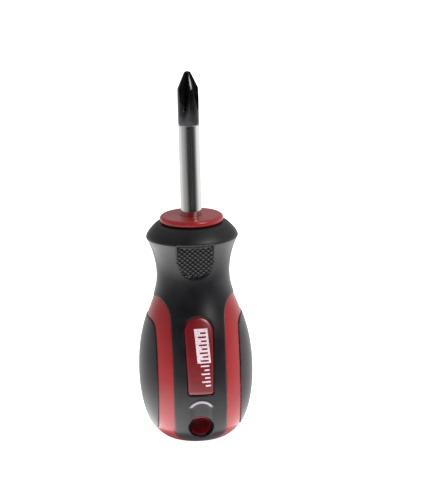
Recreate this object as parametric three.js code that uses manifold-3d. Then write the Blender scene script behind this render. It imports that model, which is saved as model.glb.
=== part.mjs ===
// Stubby cross-tip screwdriver with a two-material handle.
// Millimetres, +Z up. The tool stands on its butt with the tip up: the origin is
// the centre of the flat butt face, Z runs along the tool's axis, the badge faces -Y
// and the hanging hole runs along Y.

import * as THREE from "three";
import { mergeVertices } from "three/addons/utils/BufferGeometryUtils.js";
import Module from "manifold-3d";

const wasm = await Module();
wasm.setup();

// ---- driving dimensions ---------------------------------------------------------

const handleLength = 65.3;
const bladeExposed = 41.3;
const bladeRadius = 3.0;
const gap = 0.25; // clearance between moulded pieces

// Distances along the axis from the handle's front face towards the butt.
const discDepth = 2.1;
const creaseDepth = 6.1;
const neckDepth = 16.9;
const bellyDepth = 45.2;

// Radii of the outer form.
const discRadius = 9.05;
const collarRadius = 10.0;
const creaseRadius = 13.1;
const neckRadius = 10.4;
const bellyRadius = 16.3;
const buttRadius = 7.5;

// Control points of the outer curves, as [radius, depth]; a lone number is a depth.
const buttPull = [15.1, 63.7];
const belowBelly = 51.2;
const aboveBelly = 28.8;
const belowNeck = 25.2;
const aboveNeck = 12.5;
const belowCrease = [11.9, 8.2];
const aboveCrease = [12.9, 4.7];

// Radii of the hard core below the soft grip.
const coreNeckRadius = 7.2;
const coreBellyRadius = 13.7;
const coreButtRadius = 5.6;
const coreButtPull = 1.8; // how far inside the belly's radius its lower curve is pulled
const coreAboveBelly = 29.5;
const coreBelowNeck = 26.5;
const discEdgeRadius = 0.8;

// Outline of the soft bands that run down the front and the back.
const bandHalfWidth = 7.8;
const bandEndHalfWidth = 7.5;
const bandEndDepth = 61.0;
const tongueDepth = 64.5;
const leafX = 10.5;
const leafDepth = 22.7;
const leafFootDepth = 27.4;
const sideArchDepth = 26.2;
const sideArchEndX = 13;
const leafPullOut = [11.7, 23.7]; // [x, depth]
const leafPullIn = [8.2, 24.3];

// Side pads, one soft island on each side.
const padInnerX = 11.55;
const padTopDepth = 28.6;
const padShoulderDepth = 33.0;
const padEndDepth = 61.7;
const padTopRound = 1.6;
const padEndRound = [0.9, 1.5];

// Badge plate in the front band.
const badgeHalfWidth = 4.1;
const badgeEndHalfWidth = 3.65;
const badgeTopDepth = 26.7;
const badgeEndDepth = 48.7;
const badgeCornerRadius = 1.0;

// Thumb pocket under the collar.
const pocketHalfWidth = 5.35;
const pocketEndDepth = 16.4;
const pocketFloor = 9.7;

// Hanging hole and the ramp above it.
const holeRadius = 2.9;
const holeMouthRadius = 3.6;
const holeMouthStart = 11.2;
const holeMouthEnd = 13.2;
const holeDepth = 59.6;
const rampHalfWidth = 3.1;
const rampArchRadius = 3.55;
const rampLipDepth = 50.8;
const rampLipFloor = 15.0;
const rampTilt = THREE.MathUtils.degToRad(11);

// Blade: four-wing point and hidden anchor.
const pointRadius = 0.8;
const pointLength = 4.75;
const pointChamfer = [0.16, 0.34]; // widening and height of the rounded end
const pointEndShare = 0.7; // of the point's radius, left flat at the very end
const fluteTurn = THREE.MathUtils.degToRad(17); // how far the flutes are turned from the diagonals
const fluteLength = 11.0;
const fluteRoot = 0.55;
const fluteRootSlope = 0.08;
const fluteStraight = 4.5; // length before the root sweeps out
const fluteSweep = 1.3; // how far the root sweeps out over the flute's length
const fluteSpread = 1.04; // half the V's width for each millimetre outwards
const blackChamfer = 0.12;
const blackLength = 15.15;
const anchorDepth = 32.0;
const anchorWingTop = 14.0;
const anchorWingHeight = 12.0;
const anchorWingSpan = 8.8;
const anchorWingThickness = 1.6;

const aroundHandle = 48;
const aroundBlade = 24;
const reach = 20; // beyond the handle's surface, for the cutting shapes

// ---- helpers --------------------------------------------------------------------

// Height above the butt of a point this far below the handle's front face.
const up = (depth) => handleLength - depth;

function toSolid(geometry) {
  geometry.deleteAttribute("normal");
  geometry.deleteAttribute("uv");
  const merged = mergeVertices(geometry, 1e-4);
  const vertProperties = new Float32Array(merged.attributes.position.array);
  const triVerts = new Uint32Array(merged.index.array);
  return new wasm.Manifold(new wasm.Mesh({ numProp: 3, vertProperties, triVerts }));
}

function toMesh(name, solid, material) {
  const { vertProperties, triVerts } = solid.getMesh();
  const geometry = new THREE.BufferGeometry();
  geometry.setAttribute("position", new THREE.BufferAttribute(vertProperties, 3));
  geometry.setIndex(new THREE.BufferAttribute(triVerts, 1));
  geometry.computeVertexNormals();
  const mesh = new THREE.Mesh(geometry, material);
  mesh.name = name;
  return mesh;
}

// A solid of revolution about Z from a path of (radius, height) that runs upwards.
function turned(path, segments, divisions) {
  const geometry = new THREE.LatheGeometry(path.getPoints(divisions), segments);
  return toSolid(geometry.rotateX(Math.PI / 2));
}

// An (x, z) outline pushed through from y = nearY to y = farY, nearY < farY.
function pushed(outline, nearY, farY, curveSegments = 8) {
  const depth = farY - nearY;
  const options = { depth, bevelEnabled: false, curveSegments };
  const geometry = new THREE.ExtrudeGeometry(outline, options);
  return toSolid(geometry.rotateX(Math.PI / 2).translate(0, farY, 0));
}

function throughBoth(outline) {
  return pushed(outline, -reach, reach);
}

// ---- outlines -------------------------------------------------------------------

// Outer form of the handle below the disc, as (radius, height).
function outerProfile() {
  const path = new THREE.Path();
  path.moveTo(0, 0);
  path.lineTo(buttRadius, 0);
  path.bezierCurveTo(
    buttPull[0], up(buttPull[1]), bellyRadius, up(belowBelly), bellyRadius, up(bellyDepth)
  );
  path.bezierCurveTo(
    bellyRadius, up(aboveBelly), neckRadius, up(belowNeck), neckRadius, up(neckDepth)
  );
  path.bezierCurveTo(
    neckRadius, up(aboveNeck), belowCrease[0], up(belowCrease[1]), creaseRadius, up(creaseDepth)
  );
  path.quadraticCurveTo(aboveCrease[0], up(aboveCrease[1]), collarRadius, up(discDepth));
  path.lineTo(0, up(discDepth));
  return path;
}

// Surface of the hard core below the soft grip, grown outwards by extra.
function coreProfile(extra) {
  const neck = coreNeckRadius + extra;
  const belly = coreBellyRadius + extra;
  const butt = coreButtRadius + extra;
  const path = new THREE.Path();
  path.moveTo(0, 0);
  path.lineTo(butt, 0);
  const pull = belly - coreButtPull;
  path.bezierCurveTo(pull, up(buttPull[1]), belly, up(belowBelly), belly, up(bellyDepth));
  path.bezierCurveTo(belly, up(coreAboveBelly), neck, up(coreBelowNeck), neck, up(neckDepth));
  path.lineTo(neck, up(discDepth));
  path.lineTo(0, up(discDepth));
  return path;
}

function discProfile() {
  const path = new THREE.Path();
  path.moveTo(0, up(discDepth + 1));
  path.lineTo(coreNeckRadius, up(discDepth + 1));
  path.lineTo(coreNeckRadius, up(discDepth));
  path.lineTo(discRadius, up(discDepth));
  path.lineTo(discRadius, up(discEdgeRadius));
  path.quadraticCurveTo(discRadius, up(0), discRadius - discEdgeRadius, up(0));
  path.lineTo(0, up(0));
  return path;
}

// Collar, neck and the band, as one outline; it covers whatever is soft and joined.
function bandOutline(extra) {
  const side = bandHalfWidth + extra;
  const end = bandEndHalfWidth + extra;
  const top = up(discDepth) - gap + extra;
  const tongueRise = tongueDepth - bandEndDepth + extra;
  const half = new THREE.Path();
  half.moveTo(reach, top);
  half.lineTo(reach, up(sideArchDepth + extra));
  half.lineTo(sideArchEndX, up(sideArchDepth + extra));
  half.quadraticCurveTo(
    leafPullOut[0], up(leafPullOut[1] + extra), leafX + extra / 2, up(leafDepth + extra)
  );
  half.quadraticCurveTo(
    leafPullIn[0] + extra, up(leafPullIn[1] + extra), side, up(leafFootDepth)
  );
  half.lineTo(end, up(bandEndDepth));
  half.absellipse(0, up(bandEndDepth), end, tongueRise, 0, -Math.PI / 2, true);
  return mirrored(half);
}

function padOutline(extra, sign) {
  const inner = padInnerX - extra;
  const top = up(padTopDepth) + extra;
  const end = up(padEndDepth) - extra;
  const outline = new THREE.Shape();
  outline.moveTo(sign * reach, end);
  outline.lineTo(sign * (inner + padEndRound[0]), end);
  outline.quadraticCurveTo(sign * inner, end, sign * inner, end + padEndRound[1]);
  outline.lineTo(sign * inner, up(padShoulderDepth));
  outline.quadraticCurveTo(sign * inner, top, sign * (inner + padTopRound), top);
  outline.lineTo(sign * reach, top);
  return outline;
}

function badgeOutline(extra) {
  const side = badgeHalfWidth + extra;
  const endSide = badgeEndHalfWidth + extra;
  const end = up(badgeEndDepth) - extra;
  const corner = badgeCornerRadius;
  const arch = up(badgeTopDepth + badgeHalfWidth);
  const outline = new THREE.Shape();
  outline.moveTo(endSide, end + corner);
  outline.lineTo(side, arch);
  outline.absarc(0, arch, side, 0, Math.PI, false);
  outline.lineTo(-endSide, end + corner);
  outline.quadraticCurveTo(-endSide, end, -endSide + corner, end);
  outline.lineTo(endSide - corner, end);
  outline.quadraticCurveTo(endSide, end, endSide, end + corner);
  return outline;
}

// The pocket: straight sides down from the collar's rim to a half-round end.
function pocketOutline() {
  const centre = up(pocketEndDepth - pocketHalfWidth);
  const outline = new THREE.Shape();
  outline.moveTo(pocketHalfWidth, up(creaseDepth));
  outline.lineTo(pocketHalfWidth, centre);
  outline.absarc(0, centre, pocketHalfWidth, 0, Math.PI, true);
  outline.lineTo(-pocketHalfWidth, up(creaseDepth));
  return outline;
}

// The ramp: an arch at the lip, straight sides down to the hole's centre.
function rampOutline() {
  const centre = up(rampLipDepth + rampArchRadius);
  const start = Math.acos(rampHalfWidth / rampArchRadius);
  const outline = new THREE.Shape();
  outline.moveTo(rampHalfWidth, up(holeDepth));
  outline.absarc(0, centre, rampArchRadius, start, Math.PI - start, false);
  outline.lineTo(-rampHalfWidth, up(holeDepth));
  return outline;
}

// The shape made of half (x > 0, from top to bottom) and its mirror image.
function mirrored(half) {
  const right = half.getPoints(7);
  const left = right.map((point) => new THREE.Vector2(-point.x, point.y)).reverse();
  if (Math.abs(left[0].x) < 1e-6) {
    left.shift();
  }
  return new THREE.Shape([...right, ...left]);
}

// ---- blade ----------------------------------------------------------------------

function bladeProfile(extra) {
  const radius = bladeRadius + extra;
  const tip = up(-bladeExposed);
  const path = new THREE.Path();
  path.moveTo(0, up(anchorDepth) - extra);
  path.lineTo(radius, up(anchorDepth) - extra);
  path.lineTo(radius, tip - blackLength - blackChamfer);
  path.lineTo(radius - blackChamfer, tip - blackLength);
  path.lineTo(radius, tip - blackLength + blackChamfer);
  path.lineTo(radius, tip - pointLength);
  path.lineTo(pointRadius + pointChamfer[0], tip - pointChamfer[1]);
  path.lineTo(pointRadius * pointEndShare, tip);
  path.lineTo(0, tip);
  return path;
}

function anchorWings(extra) {
  const span = anchorWingSpan + 2 * extra;
  const thickness = anchorWingThickness + 2 * extra;
  const height = anchorWingHeight + 2 * extra;
  const wing = new THREE.BoxGeometry(span, thickness, height);
  return toSolid(wing.translate(0, 0, up(anchorWingTop + anchorWingHeight / 2)));
}

// One V-shaped flute. Its root starts near the axis at the point, slopes outwards a
// little, then sweeps out through the bar's surface, as a round cutter leaves it.
function flute(angle) {
  const steps = 8;
  const tip = up(-bladeExposed);
  const above = 1;
  const length = above + fluteLength + 0.2;
  const out = 5;
  const vertices = [];
  for (let step = 0; step <= steps; step += 1) {
    const along = (step / steps) * length - above;
    const sweep = Math.max(0, along - fluteStraight) / (fluteLength - fluteStraight);
    const root = fluteRoot + fluteRootSlope * along + fluteSweep * sweep * sweep;
    vertices.push(root, 0, tip - along);
    vertices.push(root + out, out * fluteSpread, tip - along);
    vertices.push(root + out, -out * fluteSpread, tip - along);
  }
  const faces = [0, 2, 1];
  for (let step = 0; step < steps; step += 1) {
    for (let side = 0; side < 3; side += 1) {
      const a = step * 3 + side;
      const b = step * 3 + ((side + 1) % 3);
      faces.push(a, b, a + 3, b, b + 3, a + 3);
    }
  }
  const last = steps * 3;
  faces.push(last, last + 1, last + 2);
  const geometry = new THREE.BufferGeometry();
  geometry.setAttribute("position", new THREE.Float32BufferAttribute(vertices, 3));
  geometry.setIndex(faces);
  return toSolid(geometry.rotateZ(angle));
}

function makeBlade() {
  let solid = turned(bladeProfile(0), aroundBlade, 1).add(anchorWings(0));
  for (let quarter = 0; quarter < 4; quarter += 1) {
    solid = solid.subtract(flute(((quarter + 0.5) * Math.PI) / 2 + fluteTurn));
  }
  return solid;
}

// ---- handle ---------------------------------------------------------------------

function hangingHole() {
  const bore = new THREE.CylinderGeometry(holeRadius, holeRadius, 2 * reach, 28);
  return toSolid(bore.translate(0, 0, up(holeDepth)));
}

// The soft rim of the hole widens outwards; side is -1 for the front and 1 for the back.
function holeMouth(side) {
  const depth = holeMouthEnd - holeMouthStart;
  const flare = ((holeMouthRadius - holeRadius) * (reach - holeMouthStart)) / depth;
  const wide = holeRadius + flare;
  const cone = new THREE.CylinderGeometry(wide, holeRadius, reach - holeMouthStart, 28);
  cone.translate(0, (reach + holeMouthStart) / 2, 0);
  if (side < 0) {
    cone.rotateZ(Math.PI);
  }
  return toSolid(cone.translate(0, 0, up(holeDepth)));
}

function makeCore(outer) {
  const soft = [bandOutline(gap), padOutline(gap, 1), padOutline(gap, -1)];
  let strips = outer;
  for (const outline of soft) {
    strips = strips.subtract(throughBoth(outline));
  }
  const bore = turned(bladeProfile(gap), aroundBlade, 1).add(anchorWings(gap));
  return turned(coreProfile(0), aroundHandle, 5)
    .add(strips)
    .add(turned(discProfile(), aroundHandle, 3))
    .subtract(bore)
    .subtract(hangingHole());
}

// The pocket that the thumb rests in; side is -1 for the front and 1 for the back.
function thumbPocket(side) {
  const near = side < 0 ? -reach : pocketFloor;
  return pushed(pocketOutline(), near, near + reach - pocketFloor);
}

// The ramp that leads a hook into the hanging hole.
function holeRamp(side) {
  const lip = up(rampLipDepth);
  const options = { depth: reach, bevelEnabled: false, curveSegments: 5 };
  const geometry = new THREE.ExtrudeGeometry(rampOutline(), options);
  geometry.rotateX(Math.PI / 2);
  geometry.translate(0, 0, -lip).rotateX(rampTilt).translate(0, -rampLipFloor, lip);
  if (side > 0) {
    geometry.rotateZ(Math.PI);
  }
  return toSolid(geometry);
}

function makeSleeve(outer, coreClear) {
  const window = pushed(badgeOutline(gap), -reach, 0);
  let solid = outer.intersect(throughBoth(bandOutline(0)));
  solid = solid.subtract(coreClear).subtract(window).subtract(hangingHole());
  for (const side of [-1, 1]) {
    solid = solid.subtract(thumbPocket(side)).subtract(holeRamp(side));
    solid = solid.subtract(holeMouth(side));
  }
  return solid;
}

function makePad(outer, coreClear, sign) {
  return outer.intersect(throughBoth(padOutline(0, sign))).subtract(coreClear);
}

function makeBadge(outer, coreClear) {
  return outer.intersect(pushed(badgeOutline(0), -reach, 0)).subtract(coreClear);
}

// ---- assembly -------------------------------------------------------------------

const steel = new THREE.MeshStandardMaterial({ color: 0xc8c8c8, roughness: 0.2, metalness: 1 });
const red = new THREE.MeshStandardMaterial({ color: 0xa01c22, roughness: 0.35, metalness: 0 });
const deepRed = new THREE.MeshStandardMaterial({ color: 0x8c1620, roughness: 0.4, metalness: 0 });
const rubber = new THREE.MeshStandardMaterial({ color: 0x2b2a2d, roughness: 0.75, metalness: 0 });

const outer = turned(outerProfile(), aroundHandle, 8);
const coreClear = turned(coreProfile(gap), aroundHandle, 5);

const screwdriver = new THREE.Group();
screwdriver.add(toMesh("blade", makeBlade(), steel));
screwdriver.add(toMesh("handle_core", makeCore(outer), red));
screwdriver.add(toMesh("grip_sleeve", makeSleeve(outer, coreClear), rubber));
screwdriver.add(toMesh("side_pad_left", makePad(outer, coreClear, -1), rubber));
screwdriver.add(toMesh("side_pad_right", makePad(outer, coreClear, 1), rubber));
screwdriver.add(toMesh("front_badge", makeBadge(outer, coreClear), deepRed));

export default screwdriver;
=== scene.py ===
"""Stubby cross-tip screwdriver: the looks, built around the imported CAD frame.

Lengths in this script are millimetres in the row's frame (+Z towards the tip, origin at the
centre of the butt, badge facing -Y) until a mesh is made, which turns them into metres.
The moulded pieces are distance fields: a field is negative inside the piece, and its zero
surface becomes a closed mesh with rounded edges.
"""

import math

import bpy
import numpy as np
from mathutils import Matrix, Vector


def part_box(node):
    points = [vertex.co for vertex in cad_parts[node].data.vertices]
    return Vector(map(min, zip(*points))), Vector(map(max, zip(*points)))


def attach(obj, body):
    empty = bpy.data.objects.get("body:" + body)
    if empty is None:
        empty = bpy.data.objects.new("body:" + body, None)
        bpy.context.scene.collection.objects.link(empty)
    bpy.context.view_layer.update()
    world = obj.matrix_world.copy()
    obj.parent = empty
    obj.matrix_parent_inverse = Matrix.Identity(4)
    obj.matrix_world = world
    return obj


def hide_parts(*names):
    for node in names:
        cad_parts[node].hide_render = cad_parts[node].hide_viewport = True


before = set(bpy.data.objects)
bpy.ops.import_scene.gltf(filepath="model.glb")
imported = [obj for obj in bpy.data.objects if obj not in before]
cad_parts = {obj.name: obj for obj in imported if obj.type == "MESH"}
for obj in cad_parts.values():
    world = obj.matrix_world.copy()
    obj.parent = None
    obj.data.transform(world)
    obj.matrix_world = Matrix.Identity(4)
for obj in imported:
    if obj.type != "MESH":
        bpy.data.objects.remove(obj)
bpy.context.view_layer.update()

# ---- sizes taken from the frame ---------------------------------------------------

MM = 0.001


def corners(node):
    """The lowest and highest corner of a CAD node, in millimetres."""
    low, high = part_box(node)
    return [value / MM for value in low], [value / MM for value in high]


_, CORE_HIGH = corners("handle_core")
BLADE_LOW, BLADE_HIGH = corners("blade")
SLEEVE_LOW, SLEEVE_HIGH = corners("grip_sleeve")
PAD_LOW, PAD_HIGH = corners("side_pad_right")
BADGE_LOW, BADGE_HIGH = corners("front_badge")

FACE = CORE_HIGH[2]  # height of the handle's front face
TIP = BLADE_HIGH[2]
BAR_R = BLADE_HIGH[1]
BELLY_R = PAD_HIGH[0]
CREASE_R = SLEEVE_HIGH[0]
BAND_END = SLEEVE_LOW[2]

# ---- sizes of the visible shape, as in the CAD part ----------------------------------

DISC_DEPTH = 2.1
CREASE_DEPTH = 6.1
NECK_DEPTH = 16.9
BELLY_DEPTH = 45.2
DISC_R = 9.05
COLLAR_R = 10.0
NECK_R = 10.4
BUTT_R = 7.5
CORE_NECK_R = 7.2
CORE_BELLY_R = 13.7
CORE_BUTT_R = 5.6

# Control points of the outer curves and the core's, as (radius, depth) or a depth alone.
BUTT_PULL = (15.1, 63.7)
BELOW_BELLY = 51.2
ABOVE_BELLY = 28.8
BELOW_NECK = 25.2
ABOVE_NECK = 12.5
BELOW_CREASE = (11.9, 8.2)
ABOVE_CREASE = (12.9, 4.7)
CORE_BUTT_PULL = (CORE_BELLY_R - 1.8, 63.7)
CORE_ABOVE_BELLY = 29.5
CORE_BELOW_NECK = 26.5

# The soft bands. The leaf's corner is a little rounder than the CAD's; (x, depth) pairs.
BAND_SIDE = 7.8
BAND_END_SIDE = 7.5
BAND_END_DEPTH = 61.0
ARCH_END_X = 13
ARCH_DEPTH = 26.2
ARCH_PULL = (11.9, 24.3)
LEAF_OUTER = (11.3, 23.35)
LEAF_TIP = (10.5, 22.5)
LEAF_INNER = (9.6, 23.35)
LEAF_PULL = (8.0, 24.7)
LEAF_FOOT_DEPTH = 27.4
LEAF_TOP_DEPTH = 22.7

PAD_SHOULDER_DEPTH = 33.0
PAD_TOP_ROUND = 1.6
PAD_END_ROUND = (0.9, 1.5)

BADGE_END_SIDE = 3.65
BADGE_CORNER = 1.0

POCKET_SIDE = 5.35
POCKET_DEPTH = 16.4
POCKET_FLOOR = 9.7

HOLE_R = 2.9
HOLE_MOUTH_R = 3.6
HOLE_MOUTH_START = 11.2
HOLE_MOUTH_END = 13.2
HOLE_DEPTH = 59.6
RAMP_SIDE = 3.1
RAMP_LIP_DEPTH = 50.8
RAMP_ARCH_R = 3.55

POINT_R = 0.8
POINT_LENGTH = 4.75
POINT_CHAMFER = (0.16, 0.34)  # widening and height of the rounded end
POINT_END_SHARE = 0.7  # of the point's radius, left flat at the very end
FLUTE_TURN = math.radians(17)  # how far the flutes are turned from the diagonals
FLUTE_LENGTH = 11.0
FLUTE_ROOT = 0.55
FLUTE_ROOT_SLOPE = 0.08
FLUTE_STRAIGHT = 4.5  # length before the root sweeps out
FLUTE_SWEEP = 1.3  # how far the root sweeps out over the flute's length
FLUTE_SPREAD = 1.04  # half the V's width for each millimetre outwards
BLACK_LENGTH = 15.15
BLACK_CHAMFER = 0.12
ANCHOR_WINGS = (8.8, 1.6, 12.0)  # span, thickness, height
ANCHOR_WING_TOP = 14.0  # its depth

# ---- fine detail that only the looks have ----------------------------------------------

SEAM = 0.05  # between a soft piece and the core
ANCHOR_GAP = 0.02  # between the bar and the core
LAP = 0.35  # the strips run this far in below the soft edges, so that no gap shows
RED_SUNK = 0.22  # the red strips lie this much below the soft bands
STRIPS_TOP_DEPTH = DISC_DEPTH + 1
CORE_TOP_DEPTH = 1  # inside the disc
BADGE_SUNK = 0.04
BADGE_EDGE = 0.36  # depth of the badge's bevel
BADGE_BEVEL = 0.4  # and its slope
HOLE_LIP = 0.2  # the soft rim stands this far into the bore
HOLE_FLARE_SHARE = 1.2  # the mouth goes on widening for this share of its length
POCKET_TOP_DEPTH = CREASE_DEPTH - 0.1  # the pocket runs a little way into the rim
POCKET_DRAFT = 0.6  # how much the pocket narrows for each millimetre inwards

# The scoop: its rim dives in at a slope over a width, then the floor falls a little for each
# millimetre downwards. The fall sets in over a width of its own.
RAMP_END_DEPTH = HOLE_DEPTH + 1.5
RAMP_RIM_SLOPE = 0.6
RAMP_RIM_WIDTH = 1.05
RAMP_FALL = 0.05
RAMP_FALL_WIDTH = 2
RAMP_GUARD = 0.8  # how fast the field grows beside the scoop

BAR_CHAMFER = 0.3  # at the bar's hidden end
BLACK_CHAMFER_ENDS = (0.15, 0.3)  # its length towards the plating and towards the point
CONE_EDGE = (0.05, 0.15)  # how far the edge round the cone is eased, inwards and along
POINT_END_HEIGHT = 0.12

# How far edges are rounded, in the order in which the pieces are shaped.
BUTT_EDGE = 0.7
DISC_EDGE = 0.85
BORE_EDGE = 0.25
SOFT_EDGE = 0.42
WINDOW_EDGE = 0.25
FLOOR_EDGE = 0.1
POCKET_EDGE = 0.22
RAMP_EDGE = 0.12
BROW_FILLET = 0.15
BROW_END_EDGE = 0.2
MOUTH_EDGE = 0.2

PRINT_LEAN = -0.065  # sideways for each millimetre up; it isn't quite in line with the tool
PRINT_MIDDLE_DEPTH = 34.6
PRINT_LAYERS = (-0.06, -0.006)  # its two faces, against the handle's outer form
KNURL_X = 1.5  # pitch of the diamonds across and along the tool
KNURL_Z = 1.28
KNURL_HEIGHT = 0.24
KNURL_GROOVE = 0.11  # half the share of the pitch that is left flat between them
BROW_R = 0.45  # the rounded brow over the ramp, and how deep its middle lies
BROW_SUNK = 0.2
BROW_END_DEPTH = RAMP_LIP_DEPTH + 1.7
DULL_COLLAR = (8.0, 5.5)  # depths between which the soft grip turns duller, upwards
BROW_HIGHLIGHT_CREST = (0.2, 0.5)  # a painted highlight lies this far from the brow's crest, fading out
BROW_HIGHLIGHT_ABOVE = (RAMP_LIP_DEPTH + 1.8, RAMP_LIP_DEPTH + 1.3)  # and fades at these depths
BROW_HIGHLIGHT_BENEATH = (RAMP_LIP_DEPTH - 0.9, RAMP_LIP_DEPTH - 0.6)
BORE_PAINTED_LIGHT_SPAN = (-3, 9)  # along the hole from its middle; painted light makes its wall lighter outwards
BORE_PAINTED_LIGHT_DEPTH = HOLE_DEPTH + 1.5  # and downwards, from the hole's middle to here


def up(depth):
    """Height above the butt of a point this far below the handle's front face."""
    return FACE - depth


def at(point):
    """(x or radius, height) of an (x or radius, depth) pair."""
    return point[0], up(point[1])


# ---- outlines -----------------------------------------------------------------------

REACH = 20  # beyond the handle's surface
PAST_MIDDLE = -2  # where an outline's right half ends; the field uses abs(x)


def bezier(*points, steps=24):
    """Points along a Bezier curve of any degree, without its last point."""
    degree = len(points) - 1
    t = np.arange(steps)[:, None] / steps
    total = 0
    for index, point in enumerate(points):
        weight = math.comb(degree, index) * t ** index * (1 - t) ** (degree - index)
        total = total + weight * np.array(point, float)
    return total


def outer_profile():
    """(radius, height) up the handle's outer form, from the butt to the disc."""
    belly = (BELLY_R, up(BELLY_DEPTH))
    neck = (NECK_R, up(NECK_DEPTH))
    crease = (CREASE_R, up(CREASE_DEPTH))
    return np.vstack([
        bezier((BUTT_R, 0), at(BUTT_PULL), (BELLY_R, up(BELOW_BELLY)), belly),
        bezier(belly, (BELLY_R, up(ABOVE_BELLY)), (NECK_R, up(BELOW_NECK)), neck),
        bezier(neck, (NECK_R, up(ABOVE_NECK)), at(BELOW_CREASE), crease),
        bezier(crease, at(ABOVE_CREASE), (COLLAR_R, up(DISC_DEPTH))),
        [(COLLAR_R, up(DISC_DEPTH))],
    ])


def core_profile():
    """(radius, height) of the hard core below the soft grip."""
    belly = (CORE_BELLY_R, up(BELLY_DEPTH))
    neck = (CORE_NECK_R, up(NECK_DEPTH))
    above_belly = (CORE_BELLY_R, up(CORE_ABOVE_BELLY))
    below_neck = (CORE_NECK_R, up(CORE_BELOW_NECK))
    return np.vstack([
        bezier((CORE_BUTT_R, 0), at(CORE_BUTT_PULL), (CORE_BELLY_R, up(BELOW_BELLY)), belly),
        bezier(belly, above_belly, below_neck, neck),
        [neck, (CORE_NECK_R, FACE)],
    ])


def band_outline():
    """Right half of the soft sleeve's (x, z) outline: collar, neck and band."""
    top = up(DISC_DEPTH)
    foot = (BAND_SIDE, up(LEAF_FOOT_DEPTH))
    angles = np.linspace(0, math.pi / 2, 16)
    end = up(BAND_END_DEPTH)
    tongue = np.stack(
        [BAND_END_SIDE * np.cos(angles), end - (end - BAND_END) * np.sin(angles)], axis=1
    )
    return np.vstack([
        [(PAST_MIDDLE, top), (REACH, top), (REACH, up(ARCH_DEPTH))],
        bezier((ARCH_END_X, up(ARCH_DEPTH)), at(ARCH_PULL), at(LEAF_OUTER), steps=8),
        bezier(at(LEAF_OUTER), at(LEAF_TIP), at(LEAF_INNER), steps=8),
        bezier(at(LEAF_INNER), at(LEAF_PULL), foot, steps=12),
        [foot],
        tongue,
        [(PAST_MIDDLE, BAND_END)],
    ])


def pad_outline():
    """The right side pad's (x, z) outline."""
    inner, low, high = PAD_LOW[0], PAD_LOW[2], PAD_HIGH[2]
    heel = (inner, low + PAD_END_ROUND[1])
    shoulder = (inner, up(PAD_SHOULDER_DEPTH))
    top = (inner + PAD_TOP_ROUND, high)
    return np.vstack([
        [(REACH, low)],
        bezier((inner + PAD_END_ROUND[0], low), (inner, low), heel, steps=8),
        [heel],
        bezier(shoulder, (inner, high), top, steps=12),
        [top, (REACH, high)],
    ])


def badge_outline():
    """Right half of the badge's (x, z) outline, arched at the top."""
    side, end, corner = BADGE_HIGH[0], BADGE_END_SIDE, BADGE_CORNER
    low, high = BADGE_LOW[2], BADGE_HIGH[2]
    angles = np.linspace(0, math.pi / 2, 16)
    arch = np.stack([side * np.cos(angles), high - side + side * np.sin(angles)], axis=1)
    return np.vstack([
        [(PAST_MIDDLE, low)],
        bezier((end - corner, low), (end, low), (end, low + corner), steps=6),
        arch,
        [(PAST_MIDDLE, high)],
    ])


def pocket_outline():
    """Right half of the thumb pocket's (x, z) outline, half-round at the bottom."""
    centre = up(POCKET_DEPTH - POCKET_SIDE)
    angles = np.linspace(0, math.pi / 2, 16)
    bottom = np.stack(
        [POCKET_SIDE * np.sin(angles), centre - POCKET_SIDE * np.cos(angles)], axis=1
    )
    top = up(POCKET_TOP_DEPTH)
    return np.vstack([
        [(PAST_MIDDLE, centre - POCKET_SIDE)],
        bottom,
        [(POCKET_SIDE, top), (PAST_MIDDLE, top)],
    ])


def ramp_outline():
    """Right half of the (x, z) outline of the ramp above the hanging hole."""
    centre = up(RAMP_LIP_DEPTH + RAMP_ARCH_R)
    angles = np.linspace(math.acos(RAMP_SIDE / RAMP_ARCH_R), math.pi / 2, 16)
    arch = np.stack([np.cos(angles), np.sin(angles)], axis=1) * RAMP_ARCH_R + (0, centre)
    low = up(RAMP_END_DEPTH)
    return np.vstack([
        [(PAST_MIDDLE, low), (RAMP_SIDE, low)],
        arch,
        [(PAST_MIDDLE, up(RAMP_LIP_DEPTH))],
    ])


# ---- distance fields ------------------------------------------------------------------

def both(a, b, radius=0.0):
    """Where both fields are inside, with the edge between them rounded."""
    corner = np.sqrt(np.maximum(a + radius, 0) ** 2 + np.maximum(b + radius, 0) ** 2)
    return np.minimum(np.maximum(a, b), -radius) + corner


def cut(a, b, radius=0.0):
    """Field a with field b taken out of it."""
    return both(a, -b, radius)


def join(a, b, radius=0.0):
    """Fields a and b together, with a fillet between them."""
    return -both(-a, -b, radius)


def turned(profile, r, z):
    """Distance from the surface of revolution that a profile sweeps."""
    radius, height = profile[:, 0], profile[:, 1]
    slope = np.gradient(radius, height)
    tilt = np.interp(z, height, slope)
    return (r - np.interp(z, height, radius)) / np.sqrt(1 + tilt ** 2)


def within(outline, x, z):
    """Distance from a closed (x, z) outline, negative inside it."""
    nearest = np.full(np.broadcast(x, z).shape, np.inf)
    inside = np.zeros(nearest.shape, bool)
    for (ax, az), (bx, bz) in zip(outline, np.roll(outline, -1, axis=0)):
        ex, ez = bx - ax, bz - az
        length = ex * ex + ez * ez
        if length < 1e-12:
            continue
        t = np.clip(((x - ax) * ex + (z - az) * ez) / length, 0, 1)
        nearest = np.minimum(nearest, (x - ax - t * ex) ** 2 + (z - az - t * ez) ** 2)
        if ez:
            crossed = ((az <= z) != (bz <= z)) & (x < ax + (z - az) * ex / ez)
            inside ^= crossed
    return np.sqrt(nearest) * np.where(inside, -1, 1)


OUTER = outer_profile()
CORE = core_profile()
BAND = band_outline()
PAD = pad_outline()
BADGE = badge_outline()
POCKET = pocket_outline()
RAMP = ramp_outline()


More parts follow.
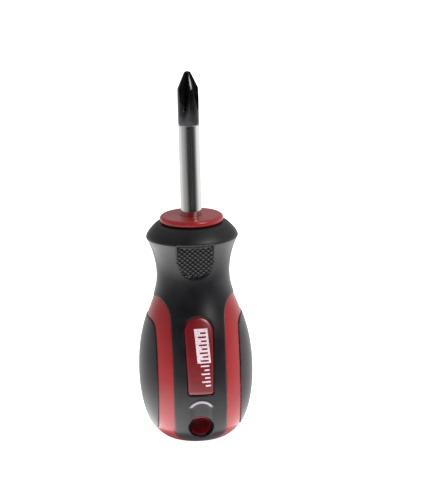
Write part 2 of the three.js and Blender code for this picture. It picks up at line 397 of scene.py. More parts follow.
def knurl(x, z):
    """Height of the raised diamonds on the pocket's floor, in staggered rows."""
    u = x / KNURL_X + (z - up(CREASE_DEPTH)) / KNURL_Z
    v = x / KNURL_X - (z - up(CREASE_DEPTH)) / KNURL_Z
    from_edge = 0.5 - np.maximum(abs(u - np.round(u)), abs(v - np.round(v)))
    return KNURL_HEIGHT * np.clip((from_edge - KNURL_GROOVE) / (0.5 - KNURL_GROOVE), 0, 1)


def pocket(x, y, z, outer):
    """The thumb pocket, front and back alike: drafted walls down to a knurled floor."""
    walls = within(POCKET, abs(x), z) + POCKET_DRAFT * np.maximum(-outer, 0)
    floor = POCKET_FLOOR + knurl(x, z) - abs(y)
    return both(walls, floor, FLOOR_EDGE)


def ramp(x, z, outer):
    """The scoop that leads a hook into the hole, front and back alike: its rim dives in at
    a slant all round, then the floor levels out and gets a little deeper downwards. Beside
    its outline the field turns positive, so that nothing is cut there."""
    inwards = -within(RAMP, abs(x), z)
    dish = RAMP_RIM_SLOPE * np.clip(inwards, 0, RAMP_RIM_WIDTH)
    down = np.maximum(up(RAMP_LIP_DEPTH) - z, 0)
    fall = RAMP_FALL * down * np.clip(inwards / RAMP_FALL_WIDTH, 0, 1)
    return -outer - dish - fall - RAMP_GUARD * np.minimum(inwards, 0)


def brow(x, z, outer):
    """The brow: a rounded bead along the arch at the top of the scoop."""
    from_arch = np.hypot(x, z - up(RAMP_LIP_DEPTH + RAMP_ARCH_R)) - RAMP_ARCH_R
    bead = np.hypot(from_arch, outer + BROW_SUNK) - BROW_R
    return both(bead, up(BROW_END_DEPTH) - z, BROW_END_EDGE)


def hole(x, y, z):
    """The hanging hole: a straight bore with a mouth that widens through the soft grip."""
    outwards = (abs(y) - HOLE_MOUTH_START) / (HOLE_MOUTH_END - HOLE_MOUTH_START)
    flare = np.clip(outwards, 0, HOLE_FLARE_SHARE) * (HOLE_MOUTH_R - HOLE_R + HOLE_LIP)
    return np.hypot(x, z - up(HOLE_DEPTH)) - HOLE_R - flare


def anchor(x, y, z, grown):
    """The bar and its anchor wings inside the handle."""
    bar = both(np.hypot(x, y) - BAR_R - grown, BLADE_LOW[2] - grown - z)
    span, thickness, height = (size / 2 + grown for size in ANCHOR_WINGS)
    middle = up(ANCHOR_WING_TOP) - ANCHOR_WINGS[2] / 2
    wings = np.maximum(abs(x) - span, np.maximum(abs(y) - thickness, abs(z - middle) - height))
    return np.minimum(bar, wings)


def core_field(x, y, z):
    """The hard moulding: the strips between the soft pieces, the core below them, the front
    disc, and room for the bar and the hanging hole."""
    r = np.hypot(x, y)
    shell = turned(OUTER, r, z) + RED_SUNK
    soft = np.minimum(within(BAND, abs(x), z), within(PAD, abs(x), z)) + LAP
    strips = both(cut(shell, soft), z - up(STRIPS_TOP_DEPTH))
    body = np.minimum(strips, both(turned(CORE, r, z), z - up(CORE_TOP_DEPTH)))
    body = both(body, -z, BUTT_EDGE)
    disc = both(r - DISC_R, abs(z - up(DISC_DEPTH / 2)) - DISC_DEPTH / 2 + SEAM, DISC_EDGE)
    body = np.minimum(body, disc)
    bore = np.hypot(x, z - up(HOLE_DEPTH)) - HOLE_R
    return cut(cut(body, anchor(x, y, z, ANCHOR_GAP)), bore, BORE_EDGE)


def sleeve_field(x, y, z):
    """The soft moulding, with the badge's window, the pockets, the scoops and the hole."""
    r = np.hypot(x, y)
    outer = turned(OUTER, r, z)
    body = both(outer, within(BAND, abs(x), z), SOFT_EDGE)
    body = cut(body, turned(CORE, r, z) - SEAM)
    window = both(within(BADGE, abs(x), z) - SEAM, y)
    body = cut(body, window, WINDOW_EDGE)
    body = cut(body, pocket(x, y, z, outer), POCKET_EDGE)
    body = cut(body, ramp(x, z, outer), RAMP_EDGE)
    body = join(body, brow(x, z, outer), BROW_FILLET)
    return cut(body, hole(x, y, z) + HOLE_LIP, MOUTH_EDGE)


def pad_field(side):
    """The field of one side pad; side is -1 for the left one, 1 for the right one."""
    def field(x, y, z):
        r = np.hypot(x, y)
        body = both(turned(OUTER, r, z), within(PAD, side * x, z), SOFT_EDGE)
        return cut(body, turned(CORE, r, z) - SEAM)
    return field


def badge_field(x, y, z):
    """The badge plate, in the front half only, with a bevel round its face."""
    r = np.hypot(x, y)
    sides = within(BADGE, abs(x), z)
    face = both(turned(OUTER, r, z) + BADGE_SUNK, BADGE_BEVEL * sides, BADGE_EDGE)
    body = cut(both(face, sides), turned(CORE, r, z) - SEAM)
    return np.maximum(body, y)


# ---- from fields to meshes ---------------------------------------------------------------

CUBE = np.array([(i, j, k) for i in (0, 1) for j in (0, 1) for k in (0, 1)])
CUBE_EDGES = [
    (a, b) for a in range(8) for b in range(a + 1, 8) if abs(CUBE[a] - CUBE[b]).sum() == 1
]


def spread(low, high, step, *stretches):
    """Grid coordinates from low to high; a stretch (start, stop, step) has its own step."""
    values = [low]
    while values[-1] < high:
        here = values[-1]
        own = [size for start, stop, size in stretches if start <= here <= stop]
        values.append(here + (own[0] if own else step))
    return np.array(values)


def mirrored(stretch):
    """A stretch and its mirror image on the other side of zero."""
    start, stop, step = stretch
    return (-stop, -start, step), stretch


def surface_net(field, xs, ys, zs):
    """Vertices in millimetres and quads of the closed surface where the field is zero."""
    values = field(xs[:, None, None], ys[None, :, None], zs[None, None, :])
    values = values.astype(np.float32)
    inside = values < 0
    shape = tuple(size - 1 for size in values.shape)
    count = np.zeros(shape, np.uint8)
    for i, j, k in CUBE:
        count += inside[i:i + shape[0], j:j + shape[1], k:k + shape[2]]
    cells = np.argwhere((count > 0) & (count < 8))
    number = np.full(shape, -1, np.int64)
    number[tuple(cells.T)] = np.arange(len(cells))
    nodes = cells[:, None, :] + CUBE[None, :, :]
    level = values[nodes[..., 0], nodes[..., 1], nodes[..., 2]]
    total = np.zeros((len(cells), 3))
    crossings = np.zeros((len(cells), 1))
    for a, b in CUBE_EDGES:
        crosses = (level[:, a] < 0) != (level[:, b] < 0)
        gap = np.where(crosses, level[:, a] - level[:, b], 1)
        t = np.where(crosses, level[:, a] / gap, 0)[:, None]
        point = CUBE[a] * (1 - t) + CUBE[b] * t
        total += np.where(crosses[:, None], point, 0)
        crossings += crosses[:, None]
    points = cells + total / crossings
    for axis, grid in enumerate((xs, ys, zs)):
        points[:, axis] = np.interp(points[:, axis], np.arange(len(grid)), grid)
    quads = []
    for axis in range(3):
        u, v = (axis + 1) % 3, (axis + 2) % 3
        lower = [slice(1, -1)] * 3
        lower[axis] = slice(0, -1)
        upper = list(lower)
        upper[axis] = slice(1, None)
        start, stop = inside[tuple(lower)], inside[tuple(upper)]
        edges = np.argwhere(start != stop)
        solid_first = start[tuple(edges.T)]
        offset = np.ones(3, int)
        offset[axis] = 0
        base = edges + offset
        ring = []
        for du, dv in ((0, 0), (1, 0), (1, 1), (0, 1)):
            cell = base.copy()
            cell[:, u] -= du
            cell[:, v] -= dv
            ring.append(number[tuple(cell.T)])
        ring = np.stack(ring, axis=1)
        ring[~solid_first] = ring[~solid_first][:, ::-1]
        quads.append(ring)
    return points, np.vstack(quads)


def settle(points, field, rounds=2):
    """Moves vertices onto the field's zero surface, a short way each round."""
    nudge, longest, flattest = 0.02, 0.1, 0.25
    for _ in range(rounds):
        x, y, z = points.T
        here = field(x, y, z)
        slope = np.stack([
            field(x + nudge, y, z) - field(x - nudge, y, z),
            field(x, y + nudge, z) - field(x, y - nudge, z),
            field(x, y, z + nudge) - field(x, y, z - nudge),
        ], axis=1) / (2 * nudge)
        size = np.maximum((slope ** 2).sum(axis=1), flattest)
        move = np.clip(here / size, -longest, longest)
        points = points - move[:, None] * slope
    return points


def make_object(name, points, faces, material):
    """A smooth-shaded object from vertices in millimetres and faces of any size."""
    mesh = bpy.data.meshes.new(name)
    mesh.from_pydata((np.asarray(points) * MM).tolist(), [], faces)
    mesh.polygons.foreach_set("use_smooth", np.ones(len(mesh.polygons), bool))
    mesh.materials.append(material)
    mesh.update()
    piece = bpy.data.objects.new(name, mesh)
    bpy.context.collection.objects.link(piece)
    return piece


def moulded(name, field, grids, material, node, settled=True):
    """A moulded piece made from its field, standing for one CAD node."""
    points, faces = surface_net(field, *grids)
    if settled:
        points = settle(points, field)
    piece = make_object(name, points, faces.tolist(), material)
    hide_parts(node)
    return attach(piece, "root")


# ---- materials ---------------------------------------------------------------------------

def math_node(tree, operation, *values):
    """A Math node's result; each value is a number or a socket."""
    node = tree.nodes.new("ShaderNodeMath")
    node.operation = operation
    for value, socket in zip(values, node.inputs):
        if isinstance(value, bpy.types.NodeSocket):
            tree.links.new(value, socket)
        else:
            socket.default_value = value
    return node.outputs[0]


class Shader:
    """A material's node tree around one Principled shader, for short material functions."""

    def __init__(self, name, **values):
        self.material = bpy.data.materials.new(name)
        self.material.use_nodes = True
        self.tree = self.material.node_tree
        self.principled = self.tree.nodes["Principled BSDF"]
        for socket, value in values.items():
            self.principled.inputs[socket.replace("_", " ")].default_value = value

    def add(self, kind, **inputs):
        node = self.tree.nodes.new(kind)
        for socket, value in inputs.items():
            self.link(value, node.inputs[socket.replace("_", " ")])
        return node

    def link(self, value, socket):
        if isinstance(value, bpy.types.NodeSocket):
            self.tree.links.new(value, socket)
        else:
            socket.default_value = value

    def place(self):
        return self.add("ShaderNodeTexCoord").outputs["Object"]

    def noise(self, scale, detail=2.0, vector=None):
        vector = vector or self.place()
        return self.add(
            "ShaderNodeTexNoise", Vector=vector, Scale=scale, Detail=detail
        ).outputs["Fac"]

    def ramp(self, factor, low, high, start=0.0, end=1.0):
        """A colour from low to high as the factor goes from start to end."""
        node = self.add("ShaderNodeValToRGB", Fac=factor)
        node.color_ramp.elements[0].position = start
        node.color_ramp.elements[0].color = (*low, 1)
        node.color_ramp.elements[1].position = end
        node.color_ramp.elements[1].color = (*high, 1)
        return node.outputs["Color"]

    def span(self, factor, low, high, start=0.0, end=1.0):
        """A value from low to high as the factor goes from start to end."""
        node = self.add("ShaderNodeMapRange", Value=factor)
        node.inputs["From Min"].default_value = start
        node.inputs["From Max"].default_value = end
        node.inputs["To Min"].default_value = low
        node.inputs["To Max"].default_value = high
        return node.outputs["Result"]

    def between(self, height, start, end):
        """0 at the depth start, 1 at the depth end, blended between them."""
        return self.span(height, 0, 1, up(start) * MM, up(end) * MM)

    def across(self, place, height):
        """Distance in the (x, z) plane from a point on the axis."""
        axis = self.add("ShaderNodeMapping", Vector=place)
        axis.inputs["Location"].default_value = (0, 0, -height * MM)
        axis.inputs["Scale"].default_value = (1, 0, 1)
        away = self.add("ShaderNodeVectorMath", Vector=axis.outputs["Vector"])
        away.operation = "LENGTH"
        return away.outputs["Value"]

    def math(self, operation, *values):
        return math_node(self.tree, operation, *values)

    def mix(self, share, low, high):
        """The value low where the share is 0, high where it is 1. A Mix node has sockets of
        its own for each data type, so they are picked by number, here and below."""
        node = self.add("ShaderNodeMix")
        for value, socket in zip((share, low, high), (0, 2, 3)):
            self.link(value, node.inputs[socket])
        return node.outputs[0]

    def mix_color(self, share, low, high):
        """The colour low where the share is 0, high where it is 1."""
        node = self.add("ShaderNodeMix")
        node.data_type = "RGBA"
        for value, socket in zip((share, low, high), (0, 6, 7)):
            self.link(value, node.inputs[socket])
        return node.outputs[2]

    def bump(self, height, strength, distance):
        node = self.add("ShaderNodeBump", Height=height, Strength=strength, Distance=distance)
        return node.outputs["Normal"]

    def set(self, **values):
        """Sets or links sockets of the Principled shader, by name."""
        for socket, value in values.items():
            self.link(value, self.principled.inputs[socket.replace("_", " ")])


def soft_grip():
    """Dark satin elastomer: a very fine spark-eroded grain and faint mottling, and a painted
    highlight in light grey along the brow's crest.
    """
    shader = Shader("soft_grip", Specular_IOR_Level=0.3)
    place = shader.place()
    mottle = shader.noise(260, 4, place)
    grain = shader.noise(4200, 2, place)
    height = shader.add("ShaderNodeSeparateXYZ", Vector=place).outputs["Z"]
    on_collar = shader.between(height, *DULL_COLLAR)
    satin = shader.span(grain, 0.285, 0.34, 0.3, 0.7)
    dull = shader.span(grain, 0.44, 0.50, 0.3, 0.7)
    dark = shader.ramp(mottle, (0.005, 0.0045, 0.006), (0.011, 0.010, 0.012), 0.3, 0.7)
    from_centre = shader.across(place, up(RAMP_LIP_DEPTH + RAMP_ARCH_R))
    from_arch = shader.math("ABSOLUTE", shader.math("SUBTRACT", from_centre, RAMP_ARCH_R * MM))
    crest = shader.span(from_arch, 1, 0, BROW_HIGHLIGHT_CREST[0] * MM, BROW_HIGHLIGHT_CREST[1] * MM)
    above = shader.between(height, *BROW_HIGHLIGHT_ABOVE)
    beneath = shader.between(height, *BROW_HIGHLIGHT_BENEATH)
    wear_and_painted_highlight = shader.math("MULTIPLY", crest, shader.math("MULTIPLY", above, beneath))
    # The light grey along the brow's crest is a painted highlight, not the elastomer's own
    # colour.
    shader.set(
        Base_Color=shader.mix_color(wear_and_painted_highlight, dark, (0.42, 0.38, 0.44, 1)),
        Roughness=shader.mix(on_collar, satin, dull),
        Normal=shader.bump(grain, 0.07, 0.03 * MM),
    )
    return shader.material


def hard_red():
    """Semi-gloss red moulding with slow ripples from the tool. The hole's wall is dull, and its
    colour is
    painted light: lighter than the red, most of all in its lower half towards the mouths."""
    shader = Shader("hard_red", Specular_IOR_Level=0.42)
    place = shader.place()
    cloud = shader.noise(120, 2, place)
    edge = (HOLE_R + BORE_EDGE) * MM
    from_hole = shader.across(place, up(HOLE_DEPTH))
    outside = shader.span(from_hole, 0, 1, edge, edge + 0.1 * MM)
    gloss = shader.span(shader.noise(400, 3, place), 0.285, 0.35, 0.3, 0.7)
    _, y, z = shader.add("ShaderNodeSeparateXYZ", Vector=place).outputs
    # Painted light: the bore's wall is coloured lighter towards the mouths and in its lower
    # half, as if lit through the hole.
    start, end = BORE_PAINTED_LIGHT_SPAN
    mouth = shader.span(shader.math("ABSOLUTE", y), 0, 1, start * MM, end * MM)
    lower_half = shader.between(z, HOLE_DEPTH, BORE_PAINTED_LIGHT_DEPTH)
    painted_bore_light = shader.math("MULTIPLY", mouth, lower_half)
    bore = shader.ramp(painted_bore_light, (0.34, 0.018, 0.028), (0.95, 0.05, 0.13))
    red = shader.ramp(cloud, (0.275, 0.010, 0.013), (0.32, 0.013, 0.017), 0.3, 0.7)
    shader.set(
        Base_Color=shader.mix_color(outside, bore, red),
        Roughness=shader.mix(outside, 0.8, gloss),
        Normal=shader.bump(shader.noise(420, 1, place), 0.05, 0.05 * MM),
    )
    return shader.material


def badge_red():
    """Deeper red than the core, and a little more satin."""
    shader = Shader("badge_red")
    cloud = shader.noise(240, 3)
    shader.set(
        Base_Color=shader.ramp(cloud, (0.14, 0.0035, 0.007), (0.175, 0.005, 0.010), 0.3, 0.7),
        Roughness=shader.span(shader.noise(900, 3), 0.29, 0.38, 0.3, 0.7),
    )
    return shader.material


def white_print():
    """Pad-printed white ink, slightly worn so that some red shows through."""
    shader = Shader("white_print", Roughness=0.55)
    wear_and_painted_highlight = shader.noise(2600, 5)
    shader.set(
        Base_Color=shader.ramp(wear_and_painted_highlight, (0.50, 0.22, 0.27), (0.74, 0.62, 0.67), 0.32, 0.48),
    )
    return shader.material


def blade_steel():
    """Bright plated bar with fine lengthwise polish, black oxide above the plated shaft."""
    shader = Shader("blade_steel", Metallic=1.0)
    place = shader.place()
    height = shader.add("ShaderNodeSeparateXYZ", Vector=place).outputs["Z"]
    edge = (TIP - BLACK_LENGTH) * MM
    oxide = shader.span(height, 0, 1, edge - 0.05 * MM, edge + 0.05 * MM)
    stretch = shader.add("ShaderNodeMapping", Vector=place)
    stretch.inputs["Scale"].default_value = (1, 1, 0.02)
    polish = shader.noise(2600, 3, stretch.outputs["Vector"])
    cloud = shader.noise(900, 4)
    bright = shader.ramp(polish, (0.50, 0.49, 0.48), (0.62, 0.61, 0.60), 0.3, 0.7)
    black = shader.ramp(cloud, (0.010, 0.009, 0.011), (0.022, 0.021, 0.024), 0.35, 0.7)
    polished = shader.span(polish, 0.08, 0.15, 0.3, 0.7)
    smooth = shader.span(cloud, 0.13, 0.20, 0.3, 0.7)
    shader.set(
        Base_Color=shader.mix_color(oxide, bright, black),
        Roughness=shader.mix(oxide, polished, smooth),
        Metallic=shader.span(oxide, 1.0, 0.8),
        Normal=shader.bump(polish, 0.12, 0.02 * MM),
    )
    return shader.material


# ---- the blade ---------------------------------------------------------------------------

def ring_mesh(profile, segments):
    """A closed solid of revolution from (radius, height) points that end on the axis."""
    points, faces = [], []
    inner = profile[1:-1]
    for radius, height in inner:
        for step in range(segments):
            angle = 2 * math.pi * step / segments
            points.append((radius * math.cos(angle), radius * math.sin(angle), height))
    for level in range(len(inner) - 1):
        for step in range(segments):
            after = (step + 1) % segments
            row, above = level * segments, (level + 1) * segments
            faces.append((row + step, row + after, above + after, above + step))
    points += [(0, 0, profile[0][1]), (0, 0, profile[-1][1])]
    low, high = len(points) - 2, len(points) - 1
    top = (len(inner) - 1) * segments
    for step in range(segments):
        after = (step + 1) % segments
        faces.append((low, after, step))
        faces.append((high, top + step, top + after))
    return points, faces


def flute_mesh(angle):
    """A V-shaped cutter whose root sweeps out of the bar like a round milling cutter."""
    steps = 28
    before, after = 1, 0.2  # the cutter runs on past both ends of the flute
    far = 5.0  # how deep the V is
    points = []
    for step in range(steps + 1):
        along = (step / steps) * (before + FLUTE_LENGTH + after) - before
        sweep = max(0, along - FLUTE_STRAIGHT) / (FLUTE_LENGTH - FLUTE_STRAIGHT)
        root = FLUTE_ROOT + FLUTE_ROOT_SLOPE * along + FLUTE_SWEEP * sweep ** 2
        for out, y in ((0, 0), (far, far * FLUTE_SPREAD), (far, -far * FLUTE_SPREAD)):
            x = root + out
            points.append((
                x * math.cos(angle) - y * math.sin(angle),
                x * math.sin(angle) + y * math.cos(angle),
                TIP - along,
            ))
    faces = [(0, 2, 1)]
    for step in range(steps):
        for side in range(3):
            a, b = step * 3 + side, step * 3 + (side + 1) % 3
            faces.append((a, b, b + 3, a + 3))
    last = steps * 3
    faces.append((last, last + 1, last + 2))
    return points, faces


def boolean(piece, points, faces, operation):
    """Joins a closed mesh to the piece, or cuts it out of it."""
    tool = make_object("tool", points, faces, None)
    change = piece.modifiers.new("change", "BOOLEAN")
    change.object = tool
    change.operation = operation
    change.solver = "EXACT"
    with bpy.context.temp_override(object=piece):
        bpy.ops.object.modifier_apply(modifier=change.name)
    mesh = tool.data
    bpy.data.objects.remove(tool)
    bpy.data.meshes.remove(mesh)


def wing_mesh():
    """The flat anchor wings, hidden in the handle."""
    span, thickness, height = (size / 2 for size in ANCHOR_WINGS)
    middle = up(ANCHOR_WING_TOP) - height
    points = [
        (x * span, y * thickness, middle + z * height)
        for x in (-1, 1) for y in (-1, 1) for z in (-1, 1)
    ]
    faces = [(0, 1, 3, 2), (4, 6, 7, 5), (0, 4, 5, 1), (2, 3, 7, 6), (0, 2, 6, 4), (1, 5, 7, 3)]
    return points, faces


def make_blade(material):
    """The bar with its point, the anchor wings joined on and the four flutes cut out."""
    edge = TIP - BLACK_LENGTH
    cone = TIP - POINT_LENGTH
    profile = [
        (0, BLADE_LOW[2]),
        (BAR_R - BAR_CHAMFER, BLADE_LOW[2]),
        (BAR_R, BLADE_LOW[2] + BAR_CHAMFER),
        (BAR_R, edge - BLACK_CHAMFER_ENDS[0]),
        (BAR_R - BLACK_CHAMFER, edge),
        (BAR_R, edge + BLACK_CHAMFER_ENDS[1]),
        (BAR_R, cone - CONE_EDGE[1]),
        (BAR_R - CONE_EDGE[0], cone + CONE_EDGE[0]),
        (POINT_R + POINT_CHAMFER[0], TIP - POINT_CHAMFER[1]),
        (POINT_R, TIP - POINT_END_HEIGHT),
        (POINT_R * POINT_END_SHARE, TIP),
        (0, TIP),
    ]
    points, faces = ring_mesh(profile, 96)
    blade = make_object("blade_fine", points, faces, material)
    boolean(blade, *wing_mesh(), "UNION")
    for quarter in range(4):
        turn = (quarter + 0.5) * math.pi / 2 + FLUTE_TURN
        boolean(blade, *flute_mesh(turn), "DIFFERENCE")
    blade.data.polygons.foreach_set("use_smooth", np.ones(len(blade.data.polygons), bool))
    blade.data.set_sharp_from_angle(angle=math.radians(24))
    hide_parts("blade")
    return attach(blade, "root")


# ---- building ----------------------------------------------------------------------------

def build_pieces():
    """The moulded pieces and the blade, each in place of its CAD node. Grids are finer where
    a piece has small detail and longer where it only bends one way."""
    coarse = 1.0
    fine, step, long = 0.17 * coarse, 0.33 * coarse, 0.6 * coarse
    badge_step = 0.2
    red, grip = hard_red(), soft_grip()
    edge = BELLY_R + 1
    moulded(
        "handle_core_fine", core_field,
        (
            spread(-edge, edge, step),
            spread(-edge, edge, step),
            spread(-1, FACE + 1, step, (up(LEAF_TOP_DEPTH - 2), up(DISC_DEPTH + 1), long)),
        ),
        red, "handle_core",
    )
    wide = CREASE_R + 1
    moulded(
        "grip_sleeve_fine", sleeve_field,
        (
            spread(-wide, wide, step, (-POCKET_SIDE - fine, POCKET_SIDE + fine, fine)),
            spread(-edge, edge, step, *mirrored((POCKET_FLOOR - 0.3, POCKET_FLOOR + 0.8, fine))),
            spread(
                BAND_END - 1, up(DISC_DEPTH) + 1, step,
                (up(RAMP_LIP_DEPTH + 2), BADGE_LOW[2], fine),
                (BADGE_LOW[2] + 2, BADGE_HIGH[2] - 5, long),
                (up(POCKET_DEPTH) - step, up(CREASE_DEPTH), fine),
            ),
        ),
        grip, "grip_sleeve", settled=False,
    )
    for side, word in ((-1, "left"), (1, "right")):
        low, high = sorted((side * (PAD_LOW[0] - 1), side * edge))
        moulded(
            f"side_pad_{word}_fine", pad_field(side),
            (
                spread(low, high, step),
                spread(-edge, edge, step),
                spread(PAD_LOW[2] - 1, PAD_HIGH[2] + 1, step),
            ),
            grip, f"side_pad_{word}",
        )
    badge_edge = BADGE_HIGH[0] + 0.8
    moulded(
        "front_badge_fine", badge_field,
        (
            spread(-badge_edge, badge_edge, badge_step),
            spread(-edge, -CORE_NECK_R, badge_step),
            spread(BADGE_LOW[2] - 0.8, BADGE_HIGH[2] + 0.8, badge_step),
        ),
        badge_red(), "front_badge",
    )
    make_blade(blade_steel())


# ---- print on the badge ---------------------------------------------------------------------

def print_patch(points, faces, x_low, x_high, z_low, z_high):
    """Adds one thin printed rectangle that follows the badge's surface."""
    columns = 6
    row_height = 0.8
    rows = max(1, round((z_high - z_low) / row_height))
    start = len(points)
    for thick in PRINT_LAYERS:
        for row in range(rows + 1):
            z = z_low + (z_high - z_low) * row / rows
            radius = float(np.interp(z, OUTER[:, 1], OUTER[:, 0])) + thick
            lean = PRINT_LEAN * (z - up(PRINT_MIDDLE_DEPTH))
            for column in range(columns + 1):
                x = x_low + (x_high - x_low) * column / columns + lean
                points.append((x, -math.sqrt(radius * radius - x * x), z))
    width = columns + 1
    layer = width * (rows + 1)
    for row in range(rows):
        for column in range(columns):
            a = start + row * width + column
            faces.append((a, a + width, a + width + 1, a + 1))
            b = a + layer
            faces.append((b, b + 1, b + width + 1, b + width))
    rim = [start + c for c in range(width)]
    rim += [start + r * width + columns for r in range(1, rows + 1)]
    rim += [start + rows * width + c for c in range(columns - 1, -1, -1)]
    rim += [start + r * width for r in range(rows - 1, 0, -1)]
    for a, b in zip(rim, rim[1:] + rim[:1]):
        faces.append((a, b, b + layer, a + layer))


def make_print(material):
    """Generic print: a white block with a plain scale left open in it, and a row of ticks."""
    points, faces = [], []
    left, right = -1.05, 2.75
    inset = right - 0.6
    top = BADGE_HIGH[2] - 3.1
    head = 0.95
    ticks, pitch, slot = 8, 1.1, 0.5
    foot = top - ticks * pitch - 0.8
    print_patch(points, faces, left, right, top - head, top)
    for index in range(ticks):
        high = top - head - index * pitch
        low = high - slot
        length = 2.3 if index % 2 else 1.6
        print_patch(points, faces, left, inset - length, low, high)
        print_patch(points, faces, inset, right, low, high)
        print_patch(points, faces, left, right, max(low - pitch + slot, foot), low)
    loose_ticks, loose_pitch, thickness = 6, 1.15, 0.45
    for index in range(loose_ticks):
        high = foot - 0.6 - index * loose_pitch
        length = 1.5 if index % 2 else 2.4
        print_patch(points, faces, inset - length, inset, high - thickness, high)
    piece = make_object("badge_print", points, faces, material)
    piece.data.set_sharp_from_angle(angle=math.radians(30))
    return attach(piece, "root")


# ---- stage ----------------------------------------------------------------------------------

def direction(azimuth, elevation):
    """Unit vector away from the tool; azimuth 0 is -Y, and it grows towards +X."""
    return Vector((
        math.sin(azimuth) * math.cos(elevation),
        -math.cos(azimuth) * math.cos(elevation),
        math.sin(elevation),
    ))


def emitter(name, color, strength):
    """A matt white surface that also glows."""
    material = bpy.data.materials.new(name)
    material.use_nodes = True
    tree = material.node_tree
    shader = tree.nodes["Principled BSDF"]
    shader.inputs["Base Color"].default_value = (0.9, 0.9, 0.9, 1)
    shader.inputs["Roughness"].default_value = 0.9
    shader.inputs["Emission Color"].default_value = (*color, 1)
    shader.inputs["Emission Strength"].default_value = strength
    return material


FLOOR_SIZE = 6  # metres
FLOOR_GLOW = 1.1
CONTACT_R = 14  # the hidden disc below the butt
CONTACT_DROP = 0.4
CONTACT_GLOW = 0.25


def make_floor():
    """The pale floor, which only the camera sees, and a hidden disc for the tool's own
    contact shadow."""
    bpy.ops.mesh.primitive_plane_add(size=FLOOR_SIZE)
    floor = bpy.context.object
    floor.name = "floor"
    floor.data.materials.append(emitter("floor_white", (1, 0.99, 0.995), FLOOR_GLOW))
    floor.visible_diffuse = False
    floor.visible_glossy = False
    floor.visible_shadow = False
    bpy.ops.mesh.primitive_circle_add(
        radius=CONTACT_R * MM, fill_type="NGON", location=(0, 0, -CONTACT_DROP * MM),
    )
    contact = bpy.context.object
    contact.name = "contact_shade"
    contact.data.materials.append(emitter("contact_grey", (1, 1, 1), CONTACT_GLOW))
    contact.visible_camera = False


# How bright the studio is. All round, by azimuth in degrees: 0 is -Y, where the camera's
# side of the room is dark, and positive azimuths turn towards +X.
ROUND = (
    (-180, 1.30), (-132, 1.50), (-110, 1.35), (-93, 1.00), (-64, 0.62), (-48, 0.46),
    (-33, 0.19), (-18, 0.05), (30, 0.05), (43, 0.08), (56, 0.28), (71, 0.88), (91, 1.65),
    (106, 1.80), (140, 1.60), (180, 1.30),
)
# The share of that which is left upwards, by the sine of the elevation.
UPWARD = ((-1, 1.0), (0.0, 1.0), (0.18, 0.42), (0.6, 0.5), (1, 0.85))
# The lit table, by the sine of the elevation, and how much it changes towards +X.
TABLE_SIDE = -0.3
TABLE = (
    (-1, 3.0), (-0.93, 4.6), (-0.8, 5.2), (-0.6, 4.3), (-0.45, 3.3), (-0.36, 1.2),
    (-0.29, 0.0), (1, 0.0),
)

KEY_DIRECTION = (math.radians(41), math.radians(37))  # azimuth, elevation
KEY_AIM_DEPTH = 20  # it points at this depth on the tool's axis
KEY_DISTANCE = 600
KEY_SIZE = (200, 150)
KEY_POWER = 2.4


def graded(tree, value, stops):
    """A brightness read off (value, level) stops."""
    low, high = stops[0][0], stops[-1][0]
    brightest = max(level for _, level in stops)
    ramp = tree.nodes.new("ShaderNodeValToRGB")
    share = math_node(tree, "MULTIPLY_ADD", value, 1 / (high - low), -low / (high - low))
    tree.links.new(share, ramp.inputs[0])
    elements = ramp.color_ramp.elements
    elements.remove(elements[1])
    for index, (place, level) in enumerate(stops):
        position = (place - low) / (high - low)
        element = elements.new(position) if index else elements[0]
        element.position = position
        element.color = (*[level / brightest] * 3, 1)
    return math_node(tree, "MULTIPLY", ramp.outputs[0], brightest)


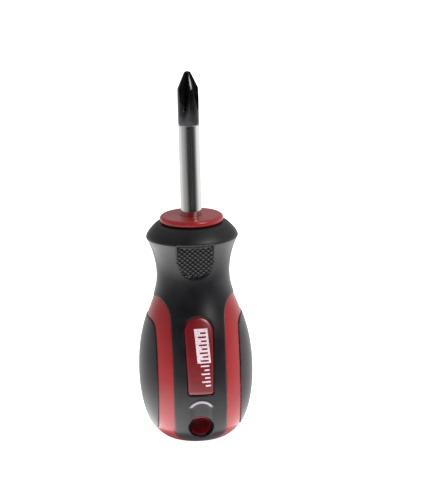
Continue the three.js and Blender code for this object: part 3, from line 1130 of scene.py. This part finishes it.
def make_world():
    """Plain white to look at. As light: a white sweep behind and at the sides, a dark room
    in front, and a brightly lit table below."""
    world = bpy.data.worlds.new("studio")
    bpy.context.scene.world = world
    world.use_nodes = True
    tree = world.node_tree
    shown = tree.nodes["Background"]
    shown.inputs["Color"].default_value = (0.97, 0.965, 0.98, 1)
    shown.inputs["Strength"].default_value = 1.0
    split = tree.nodes.new("ShaderNodeSeparateXYZ")
    tree.links.new(tree.nodes.new("ShaderNodeTexCoord").outputs["Generated"], split.inputs[0])
    x, y, z = split.outputs
    azimuth = math_node(tree, "ARCTAN2", x, math_node(tree, "MULTIPLY", y, -1.0))
    walls = graded(tree, math_node(tree, "DEGREES", azimuth), ROUND)
    walls = math_node(tree, "MULTIPLY", walls, graded(tree, z, UPWARD))
    room = tree.nodes.new("ShaderNodeBackground")
    leftwards = math_node(tree, "MULTIPLY_ADD", x, TABLE_SIDE, 1.0)
    table = math_node(tree, "MULTIPLY", graded(tree, z, TABLE), leftwards)
    light = math_node(tree, "MAXIMUM", walls, table)
    tree.links.new(light, room.inputs["Strength"])
    pick = tree.nodes.new("ShaderNodeMixShader")
    path = tree.nodes.new("ShaderNodeLightPath")
    tree.links.new(path.outputs["Is Camera Ray"], pick.inputs[0])
    tree.links.new(room.outputs[0], pick.inputs[1])
    tree.links.new(shown.outputs[0], pick.inputs[2])
    tree.links.new(pick.outputs[0], tree.nodes["World Output"].inputs["Surface"])


def make_key():
    """The soft box: in front, to the right and above, so that it shows only in edges and
    facets that look up at it."""
    data = bpy.data.lights.new("key", "AREA")
    data.shape = "RECTANGLE"
    data.size, data.size_y = (side * MM for side in KEY_SIZE)
    data.energy = KEY_POWER
    light = bpy.data.objects.new("key", data)
    towards = direction(*KEY_DIRECTION)
    light.location = (Vector((0, 0, up(KEY_AIM_DEPTH))) + towards * KEY_DISTANCE) * MM
    light.rotation_euler = towards.to_track_quat("Z", "Y").to_euler()
    light.visible_camera = False
    bpy.context.collection.objects.link(light)


# ---- camera ---------------------------------------------------------------------------------

AZIMUTH = math.radians(-4.6)
ELEVATION = math.radians(14.2)
ROLL = math.radians(1.68)
DISTANCE = 900
LENS = 232
SENSOR_WIDTH = 36
ASIDE = 8.12  # how far right of and below the disc the view is centred
BELOW = 9.12


def make_camera():
    """A long lens, a little above the handle's disc, rolled so that the tip leans left."""
    towards = direction(AZIMUTH, ELEVATION)
    right = Vector((math.cos(AZIMUTH), math.sin(AZIMUTH), 0))
    upward = towards.cross(right)
    roll = Matrix.Rotation(ROLL, 3, -towards)
    right, upward = roll @ right, roll @ upward
    disc = Vector((0, 0, FACE))
    place = disc + towards * DISTANCE
    aim = disc + right * ASIDE - upward * BELOW
    back = (place - aim).normalized()
    right = upward.cross(back).normalized()
    upward = back.cross(right)
    data = bpy.data.cameras.new("camera")
    data.lens = LENS
    data.sensor_width = SENSOR_WIDTH
    data.clip_start = 0.05
    camera = bpy.data.objects.new("camera", data)
    rows = [(right[axis], upward[axis], back[axis], place[axis] * MM) for axis in range(3)]
    camera.matrix_world = Matrix((*rows, (0, 0, 0, 1)))
    bpy.context.collection.objects.link(camera)
    bpy.context.scene.camera = camera


make_camera()
build_pieces()
make_print(white_print())
make_floor()
make_world()
make_key()
bpy.context.scene.view_settings.view_transform = "Standard"
